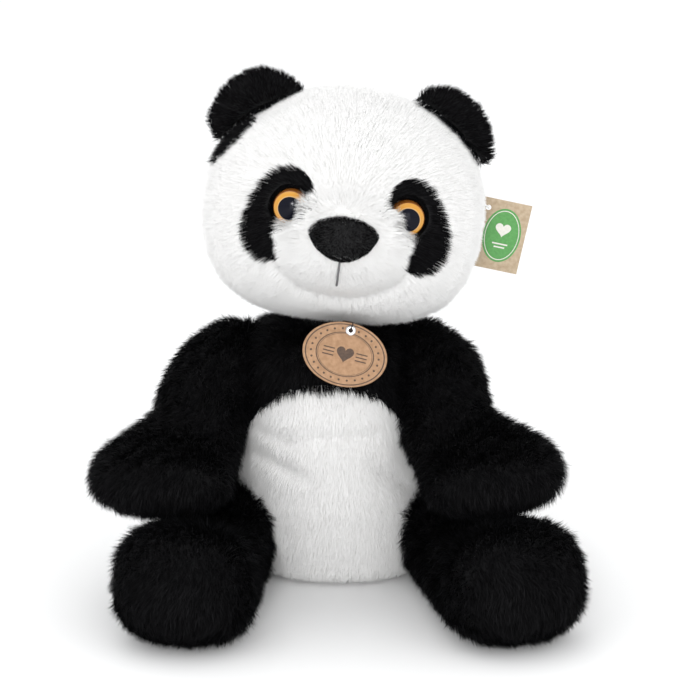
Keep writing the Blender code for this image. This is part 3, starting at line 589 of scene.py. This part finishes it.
def shaped_head(mesh):
    """A crease round the muzzle, deepest below, and a flatter crown where the left ear is sewn on."""
    places = np.array([vert.co for vert in mesh.verts])
    own = in_head_axes(places)
    share = rim_share(own)
    low = np.clip(0.55 - (own[:, 2] - RIM_CENTRE[1]) / (40.0 * MM), 0.25, 1.0)
    sink = CREASE_DEPTH * low * np.exp(-(((share - CREASE_AT) / CREASE_WIDTH) ** 2))
    ear = np.array(CENTRE["ear_bend_left"])
    gap = np.linalg.norm(places - ear, axis=1)
    dent = EAR_DENT * np.exp(-((gap / EAR_DENT_REACH) ** 2))
    push = np.zeros_like(places)
    for side in SIDES:
        forward, radial, far = about_eye(places, side)
        lip = np.exp(-(((far - EYE_LIP_AT) / EYE_LIP_HALF) ** 2)) * np.clip((1.03 - share) / 0.15, 0.0, 1.0)
        lip *= EYE_LIP * (forward > -8.0 * MM)
        push += lip[:, None] * (np.array(EYE_OUT[side]) - 0.5 * radial / np.maximum(far, 1e-6)[:, None])
    for vert, crease, flat, move in zip(mesh.verts, sink, dent, push):
        out = (vert.co - HEAD_CENTRE).normalized()
        vert.co += Vector((0.0, crease, 0.0)) - out * flat + Vector(move)


def in_head_axes(points):
    """Points in the head's own axes: across, towards the back, and up."""
    turn = np.array(HEAD_TURN)
    return (points - np.array(HEAD_CENTRE)) @ turn


def head_roots(skin, rng, nose_at):
    """Roots clear of the neck, the eyes and the nose, with their own axes and distance from an eye."""
    roots, normals = scattered(skin, DENSITY["head"], rng)
    own = in_head_axes(roots)
    keep = far_from(roots, NECK, 19.0 * MM)
    off_axis = {}
    for side in SIDES:
        forward, _, off_axis[side] = about_eye(roots, side)
        on_lip = (forward > 0.5 * MM) & (off_axis[side] > 4.0 * MM) & (rim_share(own) < 1.0)
        keep &= ~((off_axis[side] < EYE_RADIUS + 0.4 * MM) & (np.abs(forward) < 30.0 * MM) & ~on_lip)
    keep &= (own[:, 1] < 10.0 * MM) | (rng.random(len(roots)) < 0.72)
    across = (own[:, 0] - nose_at[0]) / NOSE_HALF[0]
    level = (own[:, 2] - nose_at[2]) / NOSE_HALF[1]
    keep &= ~((across**2 + level**2 < 1.0) & (own[:, 1] < -0.04))
    nearest_eye = np.minimum(off_axis["left"], off_axis["right"])
    return roots[keep], normals[keep], own[keep], nearest_eye[keep]


def combed_head(own, nearest_eye, nose_at):
    """Length and lean of the head's pile: short by the nose, raised at the muzzle's rim and the eyes."""
    front = np.clip(-own[:, 1] / 0.06, 0.0, 1.0)
    from_nose = np.hypot(own[:, 0] - nose_at[0], own[:, 2] - nose_at[2])
    short = np.clip((from_nose - 0.012) / 0.03, 0.0, 1.0)
    length = (HEAD_PILE - 2.6 * (1.0 - short) * front) * MM
    share = rim_share(own)
    inside = share < LAST_RIM_SHARE
    level = np.clip((own[:, 2] + 12.0 * MM) / (10.0 * MM), 0.0, 1.0)
    rim = np.exp(-(((share - 0.9) / 0.14) ** 2)) * inside
    beside_eye = np.clip(1.0 - (nearest_eye - EYE_RADIUS) / (9.0 * MM), 0.0, 1.0) * inside
    behind = np.clip((own[:, 1] + 30.0 * MM) / (40.0 * MM), 0.0, 1.0)
    length = length * (1.0 + 0.15 * behind)
    lean = HEAD_PILE_LEAN - 0.26 * behind - 0.22 * rim * (0.35 + 0.65 * level) - 0.12 * beside_eye
    return length * (1.0 + 0.15 * rim * level) + 2.5 * MM * beside_eye, lean


def build_head():
    """The head's skin and pile, with the dark pile that runs down from the left ear."""
    names = [*HEAD_PANELS, "head_filling", "nose"]
    skin = skin_over("head_skin", joined(names), HEAD_VOXEL, HEAD_ROUNDS, SKIN_DEPTH, shaped_head)
    panels = Panels(HEAD_PANELS)
    coloured(skin, panels, HEAD_PANELS, under_ear)
    dressed(skin, "head", "white_plush", "head_filling")

    rng = np.random.default_rng(SEED["head"])
    nose_at = in_head_axes(np.array([middle("nose")]))[0]
    roots, normals, own, nearest_eye = head_roots(skin, rng, nose_at)
    share = rim_share(own)
    owner = np.where(share < MUZZLE_EDGE, panels.names.index("muzzle_panel"), panels.nearest(roots))
    behind_nose = np.array([nose_at[0], -0.06, nose_at[2] - 0.003])
    flow = unit(roots - (np.array(HEAD_CENTRE) + np.array(HEAD_TURN) @ behind_nose))
    flow[:, 2] -= 0.2
    length, lean = combed_head(own, nearest_eye, nose_at)

    mine = under_ear(roots)
    spots, facing = roots[mine], normals[mine]
    outward = unit(spots - np.array(HEAD_CENTRE))
    sizes = np.full(len(spots), 8.0 * MM)
    made = pile("ear_foot_left_pile", spots, facing, outward, sizes, 0.7, BLACK_SHADES, rng)
    dressed(made, "head", "black_plush")
    owner = np.where(mine, -1, owner)

    near = np.clip((nearest_eye - EYE_RADIUS) / (9.0 * MM), 0.0, 1.0)
    for number, name in enumerate(panels.names):
        mine = owner == number
        sizes = length[mine]
        shade = HEAD_PANELS[name]
        if shade == "black":
            inner = np.clip((share[mine] - 0.95) / 0.35, 0.0, 1.0)
            sizes = sizes * (0.6 + 0.35 * near[mine]) * (0.65 + 0.35 * inner)
        combing = (roots[mine], normals[mine], flow[mine], sizes, lean[mine])
        made = pile(f"{name}_pile", *combing, SHADES[shade], rng, FINE_STRAND, 0.36)
        dressed(made, "head", f"{shade}_plush", name)


def turned_piece(profile, place, steps=48, ring=False):
    """A bmesh turned about its own Z from (radius, height) points, then put in place."""
    mesh = bmesh.new()
    chain = [mesh.verts.new((radius, 0.0, height)) for radius, height in profile]
    edges = [mesh.edges.new(pair) for pair in zip(chain, chain[1:])]
    if ring:
        edges.append(mesh.edges.new((chain[-1], chain[0])))
    about = {"cent": (0, 0, 0), "axis": (0, 0, 1), "angle": 2.0 * math.pi}
    bmesh.ops.spin(mesh, geom=chain + edges, steps=steps, use_merge=True, **about)
    bmesh.ops.remove_doubles(mesh, verts=mesh.verts, dist=0.002 * MM)
    bmesh.ops.recalc_face_normals(mesh, faces=mesh.faces)
    bmesh.ops.transform(mesh, matrix=place, verts=mesh.verts)
    return mesh


def gloss(name, colour, specular=0.3, coat=0.4):
    """Paint under a clear, hard and smooth coat."""
    made = cloth_shade(name, colour, 0.12, 0.0, WHITE_SHEEN, specular)
    shader = made.node_tree.nodes["Principled BSDF"]
    shader.inputs["Coat Weight"].default_value = coat
    shader.inputs["Coat Roughness"].default_value = 0.02
    return made


# The dome's rings, each with its outer radius in mm and its paint
EYE_ZONES = (
    (6.6, gloss("eye_pupil", (0.0015, 0.0022, 0.008), 0.12, 0.1)),
    (7.15, gloss("eye_inner_ring", (0.55, 0.33, 0.13))),
    (9.1, gloss("eye_amber_ring", (0.58, 0.265, 0.026))),
    (20.0, gloss("eye_edge", (0.20, 0.065, 0.01))),
)


def build_eye(side):
    """A safety eye: one glossy dome painted in rings, on its base and shank."""
    dome = [(9.9 * math.sin(a), 0.2 + 6.0 * math.cos(a)) for a in np.radians(np.arange(0.0, 90.1, 3.75))]
    base = [(10.0, 0.0), (10.0, -3.2), (2.4, -4.2), (2.4, -12.5), (0.0, -12.5)]
    profile = [(r * MM, z * MM) for r, z in dome + base]
    out = EYE_OUT[side]
    origin = middle(f"eye_lens_{side}") - out * 3.2 * MM
    place = Matrix.Translation(origin) @ out.to_track_quat("Z", "Y").to_matrix().to_4x4()
    made = piece_from(f"eye_{side}", turned_piece(profile, place), *[zone for _, zone in EYE_ZONES])
    for face in made.data.polygons:
        apart = face.center - origin
        radius = (apart - out * apart.dot(out)).length / MM
        face.material_index = next(i for i, (reach, _) in enumerate(EYE_ZONES) if radius < reach)
    made.data.set_sharp_from_angle(angle=math.radians(50.0))
    dressed(made, "head", "eye_black", f"eye_lens_{side}", f"eye_iris_{side}", f"eye_base_{side}")


def build_nose():
    """A pad with a very short dark pile on its front."""
    skin = skin_over("nose_pad", joined(["nose"]), 0.9 * MM, 2, 0.2 * MM)
    skin.data.materials.append(NOSE_CLOTH)
    dressed(skin, "head", "nose_cloth", "nose")
    rng = np.random.default_rng(SEED["nose"])
    roots, normals = scattered(skin, DENSITY["nose"], rng)
    keep = normals[:, 1] < 0.2
    roots, normals = roots[keep], normals[keep]
    flow = unit(roots - np.array(middle("nose")))
    flow[:, 2] -= 0.6
    sizes = np.full(len(roots), 1.5 * MM)
    made = pile("nose_pile", roots, normals, flow, sizes, 0.7, NOSE_SHADES, rng, width=FINE_STRAND)
    dressed(made, "head", "nose_cloth")


# How far each ear is widened along its seam, its foot drawn in, and its top let out
EAR_STRETCH = {"left": 1.06, "right": 1.2}
EAR_DRAWN = {"left": 5.0 * MM, "right": 1.0 * MM}
EAR_FOOT = 14.0 * MM
RIGHT_EAR_RAISED = 2.0 * MM


def sewn_down(side):
    """Widens an ear along its seam and draws its foot towards the head."""

    def draw(mesh):
        pivot = CENTRE[f"ear_bend_{side}"]
        out = (pivot - HEAD_CENTRE).normalized()
        along = out.cross(Vector((0.0, 1.0, 0.0))).normalized()
        for vert in mesh.verts:
            apart = vert.co - pivot
            near = 1.0 - min(max(apart.dot(out) / EAR_FOOT, 0.0), 1.0)
            vert.co += along * apart.dot(along) * (EAR_STRETCH[side] - 1.0)
            vert.co -= out * near * EAR_DRAWN[side]
            if side == "right":
                vert.co += out * (1.0 - near) * RIGHT_EAR_RAISED

    return draw


def build_ear(side):
    """An ear's skin over its two pads, and the pile of each half."""
    names = [f"ear_front_panel_{side}", f"ear_back_panel_{side}"]
    skin = skin_over(f"ear_{side}_skin", joined(names), 2.0 * MM, 5, 1.2 * MM, sewn_down(side))
    panels = Panels(names)
    coloured(skin, panels, dict.fromkeys(names, "black"))
    dressed(skin, f"ear_{side}", "black_plush")
    rng = np.random.default_rng(SEED["ears"] + (side == "left"))
    roots, normals = scattered(skin, DENSITY["ear"], rng)
    owner = panels.nearest(roots)
    outward = unit(roots - np.array(HEAD_CENTRE))
    base = np.array(CENTRE[f"ear_bend_{side}"]) - np.array(HEAD_CENTRE)
    for number, name in enumerate(names):
        mine = owner == number
        spots, facing = roots[mine], normals[mine]
        flow = unit(spots - np.array(HEAD_CENTRE) - base * 0.7) + outward[mine] * 0.3
        sizes = np.full(len(spots), 5.5 * MM)
        made = pile(f"{name}_pile", spots, facing, flow, sizes, 0.85, BLACK_SHADES, rng)
        dressed(made, f"ear_{side}", "black_plush", name)


# ---------------------------------------------------------------- tail, neck and small finishes


def furred(name, node, body, shade, length):
    """A closed skin with its own hanging pile over one soft CAD node."""
    skin = skin_over(f"{name}_skin", joined([node]), 1.6 * MM, 4, 0.8 * MM)
    skin.data.materials.append(BLACK_CLOTH if shade == "black" else WHITE_CLOTH)
    dressed(skin, body, f"{shade}_plush", node)
    rng = np.random.default_rng(SEED[name])
    roots, normals = scattered(skin, DENSITY[name], rng)
    flow = np.zeros_like(roots)
    flow[:, 2] = -1.0
    sizes = np.full(len(roots), length)
    made = pile(f"{name}_pile", roots, normals, flow, sizes, 0.85, SHADES[shade], rng)
    dressed(made, body, f"{shade}_plush")


def finish_nodes():
    """Procedural finishes for the small CAD pieces that are kept as they are."""
    thread = mottled("mouth_yarn", (0.10, 0.10, 0.105), (0.20, 0.20, 0.205), 1500.0, 0.95, 0.6)
    cord = mottled("dark_cord", (0.02, 0.013, 0.01), (0.06, 0.04, 0.03), 1800.0, 0.85, 0.6)
    plastic = mottled("clear_white_plastic", (0.86, 0.86, 0.86), (0.93, 0.93, 0.93), 300.0, 0.3, 0.05)
    weave = (1.0, 0.25, 4.0)
    tape = mottled("woven_tape", (0.82, 0.82, 0.81), (0.92, 0.92, 0.91), 900.0, 0.8, 0.6, stretch=weave)
    finishes = {"mouth_stitch": thread, "medallion_thread": cord, "tag_pin": plastic, "care_label": tape}
    for side in SIDES:
        finishes[f"eye_washer_{side}"] = plastic
    for node, finish in finishes.items():
        data = NODES[node].data
        data.materials.clear()
        data.materials.append(finish)


# ---------------------------------------------------------------- cards

# A card's own axes run across and up its face, in mm, and its front faces -Y
MEDAL_PLACE = (
    Matrix.Translation(Vector((3.0, -60.0, 138.5)) * MM)
    @ Matrix.Rotation(math.radians(-17.0), 4, "X")
    @ Matrix.Rotation(math.radians(14.0), 4, "Y")
)
MEDAL_HALF = (24.0, 18.0)
MEDAL_HOLE_UP = 13.8
MEDAL_HOLE = 1.7
MEDAL_FRONT = 0.7
MEDAL_EDGE = 0.35
MEDAL_RINGS = ((0.945, 0.915), (0.69, 0.665), (0.645, 0.635))
MEDAL_DOTS = 26
TAG_PLACE = Matrix.Translation(Vector((87.5, 22.0, 206.0)) * MM) @ Matrix.Rotation(math.radians(12.0), 4, "Y")
TAG_LOW = (-4.0, -36.0)
TAG_HIGH = (25.0, 6.0)
TAG_HOLE = 1.6
TAG_FRONT = 0.4
TAG_EDGE = 0.12
TAG_OVAL_AT = (11.2, -14.8)
PRINT_DEPTH = 0.09
PRINT_SUNK = 0.02


def oval(half_width, half_height, x=0.0, z=0.0, steps=96):
    """The outline of an oval round a point."""
    turns = [2.0 * math.pi * i / steps for i in range(steps)]
    return [(x + half_width * math.cos(a), z + half_height * math.sin(a)) for a in turns]


def closed_band(mesh, loops):
    """Joins closed outlines, given as (points, depth), into one closed ring of material."""
    rings = []
    for outline, depth in loops:
        verts = [mesh.verts.new((x * MM, depth * MM, z * MM)) for x, z in outline]
        rings.append([mesh.edges.new((a, b)) for a, b in zip(verts, verts[1:] + verts[:1])])
    for one, two in zip(rings, rings[1:] + rings[:1]):
        bmesh.ops.bridge_loops(mesh, edges=one + two)


def flat_print(mesh, outline, front):
    """A printed shape standing just proud of a card's front."""
    level = -(front - PRINT_SUNK) * MM
    face = mesh.faces.new([mesh.verts.new((x * MM, level, z * MM)) for x, z in outline])
    pushed = bmesh.ops.extrude_face_region(mesh, geom=[face])
    moved = [v for v in pushed["geom"] if isinstance(v, bmesh.types.BMVert)]
    bmesh.ops.translate(mesh, vec=(0.0, -PRINT_DEPTH * MM, 0.0), verts=moved)


def ring_print(mesh, outer, inner, front):
    """A printed band between two outlines."""
    near, far = -(front + PRINT_DEPTH - PRINT_SUNK), -(front - PRINT_SUNK)
    closed_band(mesh, [(outer, near), (inner, near), (inner, far), (outer, far)])


def heart(size, x, z, steps=48):
    """The outline of a heart, with its half width as its size."""
    made = []
    for i in range(steps):
        a = 2.0 * math.pi * (i + 0.5) / steps
        across = 16.0 * math.sin(a) ** 3
        level = 13.0 * math.cos(a) - 5.0 * math.cos(2 * a) - 2.0 * math.cos(3 * a) - math.cos(4 * a)
        made.append((x + across * size / 16.0, z + level * size / 16.0))
    return made


def bar(x, z, half_width, half_height):
    """The outline of a printed bar."""
    return [
        (x - half_width, z - half_height),
        (x + half_width, z - half_height),
        (x + half_width, z + half_height),
        (x - half_width, z + half_height),
    ]


def card_piece(name, mesh, place, body, slot, material, *nodes):
    """Puts a card, its print or its eyelet in place, with crisp edges."""
    bmesh.ops.transform(mesh, matrix=place, verts=mesh.verts)
    made = piece_from(name, mesh, material)
    made.data.set_sharp_from_angle(angle=math.radians(35.0))
    dressed(made, body, slot, *nodes)


def build_medallion():
    """An oval card with plain printed rings, dots, bars and a heart, and its eyelet."""
    kraft = mottled("kraft_card", (0.34, 0.195, 0.105), (0.45, 0.27, 0.155), 420.0, 0.8, 0.25)
    ink = mottled("brown_print", (0.055, 0.03, 0.017), (0.10, 0.055, 0.032), 900.0, 0.6, 0.2)
    wide, tall = MEDAL_HALF
    hole = oval(MEDAL_HOLE, MEDAL_HOLE, 0.0, MEDAL_HOLE_UP)
    rim, inset = oval(wide, tall), oval(wide - MEDAL_EDGE, tall - MEDAL_EDGE)
    mesh = bmesh.new()
    closed_band(
        mesh,
        [
            (hole, -MEDAL_FRONT),
            (inset, -MEDAL_FRONT),
            (rim, -MEDAL_FRONT + MEDAL_EDGE),
            (rim, MEDAL_FRONT - MEDAL_EDGE),
            (inset, MEDAL_FRONT),
            (hole, MEDAL_FRONT),
        ],
    )
    card_piece("medallion_oval", mesh, MEDAL_PLACE, "medallion", "kraft_card", kraft, "medallion_card")

    printed = bmesh.new()
    for outer, inner in MEDAL_RINGS:
        outside, inside = (oval(wide * share, tall * share) for share in (outer, inner))
        ring_print(printed, outside, inside, MEDAL_FRONT)
    for i in range(MEDAL_DOTS):
        angle = 2.0 * math.pi * (i + 0.5) / MEDAL_DOTS
        x, z = wide * 0.80 * math.cos(angle), tall * 0.80 * math.sin(angle)
        if math.hypot(x, z - MEDAL_HOLE_UP) > 4.2:
            flat_print(printed, oval(0.62, 0.62, x, z, 14), MEDAL_FRONT)
    flat_print(printed, heart(4.9, 0.0, 0.3), MEDAL_FRONT)
    for x in (-9.4, 9.4):
        for z in (-2.0, 0.0, 2.0):
            flat_print(printed, bar(x, z, 3.2, 0.34), MEDAL_FRONT)
    card_piece("medallion_print", printed, MEDAL_PLACE, "medallion", "kraft_card", ink)

    profile = [
        (1.05, -1.0), (1.15, -1.42), (1.6, -1.6), (2.3, -1.5), (2.8, -1.15), (2.7, -1.0), (1.45, -1.0),
        (1.45, 1.0), (2.7, 1.0), (2.8, 1.15), (2.3, 1.5), (1.6, 1.6), (1.15, 1.42), (1.05, 1.0),
    ]
    upright = Matrix.Translation((0.0, 0.0, MEDAL_HOLE_UP * MM)) @ Matrix.Rotation(math.pi / 2.0, 4, "X")
    ring = turned_piece([(r * MM, h * MM) for r, h in profile], MEDAL_PLACE @ upright, 40, ring=True)
    metal = mottled("eyelet_metal", (0.62, 0.62, 0.63), (0.8, 0.8, 0.81), 500.0, 0.22, 0.05, metallic=1.0)
    card_piece("medallion_ring", ring, Matrix(), "medallion", "eyelet_metal", metal, "medallion_eyelet")


def tag_edge(angle, inset):
    """Where a ray from the hole meets the tag's edge."""
    x, z = math.cos(angle), math.sin(angle)
    reach = []
    if abs(x) > 1e-9:
        reach.append((TAG_HIGH[0] - inset) / x if x > 0.0 else (TAG_LOW[0] + inset) / x)
    if abs(z) > 1e-9:
        reach.append((TAG_HIGH[1] - inset) / z if z > 0.0 else (TAG_LOW[1] + inset) / z)
    nearest = min(reach)
    return (x * nearest, z * nearest)


def build_hang_tag():
    """A rectangular card with a plain printed oval, ring, heart and bars."""
    kraft = mottled("pale_kraft", (0.44, 0.33, 0.22), (0.56, 0.45, 0.32), 420.0, 0.8, 0.25)
    ends = [(x, z) for x in (TAG_LOW[0], TAG_HIGH[0]) for z in (TAG_LOW[1], TAG_HIGH[1])]
    corners = [math.atan2(z, x) % (2.0 * math.pi) for x, z in ends]
    angles = sorted([2.0 * math.pi * i / 60 + 0.01 for i in range(60)] + corners)
    edge = [tag_edge(a, 0.0) for a in angles]
    inset = [tag_edge(a, TAG_EDGE) for a in angles]
    hole = [(TAG_HOLE * math.cos(a), TAG_HOLE * math.sin(a)) for a in angles]
    mesh = bmesh.new()
    closed_band(
        mesh,
        [
            (hole, -TAG_FRONT),
            (inset, -TAG_FRONT),
            (edge, -TAG_FRONT + TAG_EDGE),
            (edge, TAG_FRONT - TAG_EDGE),
            (inset, TAG_FRONT),
            (hole, TAG_FRONT),
        ],
    )
    card_piece("hang_tag", mesh, TAG_PLACE, "hang_tag", "kraft_card", kraft, "hang_tag_card")
    green = mottled("green_print", (0.085, 0.30, 0.075), (0.115, 0.37, 0.10), 600.0, 0.6, 0.15)
    pale = mottled("pale_print", (0.74, 0.72, 0.66), (0.82, 0.80, 0.74), 600.0, 0.7, 0.15)
    x, z = TAG_OVAL_AT
    oval_print = bmesh.new()
    flat_print(oval_print, oval(11.2, 16.2, x, z, 72), TAG_FRONT)
    card_piece("tag_oval", oval_print, TAG_PLACE, "hang_tag", "kraft_card", green)
    marks, on_oval = bmesh.new(), TAG_FRONT + PRINT_DEPTH
    ring_print(marks, oval(10.1, 15.0, x, z, 72), oval(9.7, 14.5, x, z, 72), on_oval)
    flat_print(marks, heart(4.6, x, z + 3.6), on_oval)
    for i, half in enumerate((4.6, 3.2)):
        flat_print(marks, bar(x, z - 5.2 - 2.0 * i, half, 0.42), on_oval)
    card_piece("tag_marks", marks, TAG_PLACE, "hang_tag", "kraft_card", pale)


# ---------------------------------------------------------------- room


def area_light(name, place, target, size, power):
    """A square white light that faces its target."""
    data = bpy.data.lights.new(name, "AREA")
    data.shape = "SQUARE"
    data.size = size
    data.energy = power
    made = linked(name, data)
    made.location = place
    made.rotation_euler = (Vector(target) - Vector(place)).to_track_quat("-Z", "Y").to_euler()


def build_room():
    """A plain pale floor under soft studio light."""
    mesh = bmesh.new()
    bmesh.ops.create_grid(mesh, x_segments=1, y_segments=1, size=20.0)
    paper = cloth_shade("floor_paper", (0.965, 0.965, 0.965), 0.9, 0.0, WHITE_SHEEN, 0.1)
    piece_from("floor", mesh, paper)
    world = bpy.data.worlds.new("studio")
    bpy.context.scene.world = world
    world.use_nodes = True
    sky = world.node_tree.nodes["Background"]
    sky.inputs["Color"].default_value = (0.99, 0.995, 1.0, 1.0)
    sky.inputs["Strength"].default_value = 1.1
    area_light("key", (-0.16, -1.7, 0.62), (0.0, -0.03, 0.14), 0.22, 5.0)
    area_light("front", (0.1, -1.5, 0.22), (0.0, -0.05, 0.08), 1.0, 6.0)
    area_light("top", (-0.3, 0.1, 1.8), (0.0, 0.0, 0.1), 1.2, 3.0)
    bpy.context.scene.view_settings.view_transform = "Standard"


def build_camera():
    """A long lens a little above the toy, straight in front of it."""
    elevation, distance = math.radians(15.0), 1.25
    target = Vector((0.0059, 0.0, 0.125))
    back = Vector((0.0, -math.cos(elevation), math.sin(elevation)))
    data = bpy.data.cameras.new("camera")
    data.lens = 109.29
    data.sensor_width = 36.0
    made = linked("camera", data)
    made.location = target + back * distance
    made.rotation_euler = (-back).to_track_quat("-Z", "Y").to_euler()
    data.clip_start, data.clip_end = 0.05, 60.0
    bpy.context.scene.camera = made


build_camera()
build_room()
build_torso()
for side in SIDES:
    arm = [f"arm_panel_outer_{side}", f"arm_panel_inner_{side}"]
    leg = [f"leg_panel_top_{side}", f"leg_panel_bottom_{side}", f"foot_sole_{side}"]
    build_limb("arm", side, arm, SHOULDER[side])
    build_limb("leg", side, leg, HIP[side])
build_head()
build_nose()
for side in SIDES:
    build_eye(side)
for side in SIDES:
    build_ear(side)
furred("tail", "tail", "torso", "white", 7.0 * MM)
furred("neck", "neck_filling", "neck", "black", 3.0 * MM)
build_medallion()
build_hang_tag()
finish_nodes()
